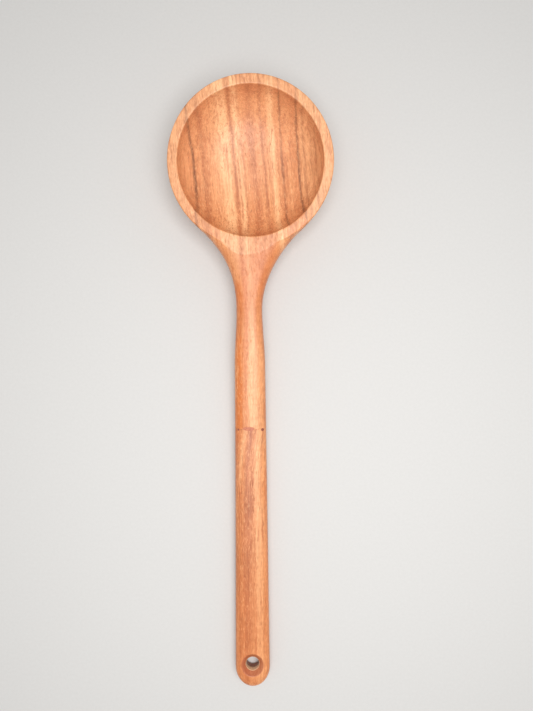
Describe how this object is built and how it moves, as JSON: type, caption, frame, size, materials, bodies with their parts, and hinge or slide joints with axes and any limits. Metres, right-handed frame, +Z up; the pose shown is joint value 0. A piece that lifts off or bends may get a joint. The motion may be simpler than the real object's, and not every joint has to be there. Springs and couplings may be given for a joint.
{
  "type": "wooden serving spoon",
  "caption": "Deep round wooden serving spoon with a flat planed rim, a long crowned handle spliced near its middle, and a countersunk hanging hole at its end.",
  "frame": {"origin": "middle of the spoon's box, on the table it lies on", "axes": "+Y from the handle's end to the bowl's tip, +X across to the right as seen from above with the bowl ahead, +Z up; the rim's plane falls 7 degrees toward the handle"},
  "size_m": [0.092, 0.35, 0.0387],
  "materials": {
    "oiled_wood": "oiled, satin",
    "dowel_wood": "bare, fluted",
    "glue": "hard, dull",
    "filler": "hard, dull"
  },
  "bodies": {
    "root": {"spoon_head": "oiled_wood", "handle_tail": "oiled_wood", "splice_dowel": "dowel_wood", "glue_film": "glue", "filler_crown": "filler", "filler_left": "filler", "filler_right": "filler"}
  },
  "joints": []
}
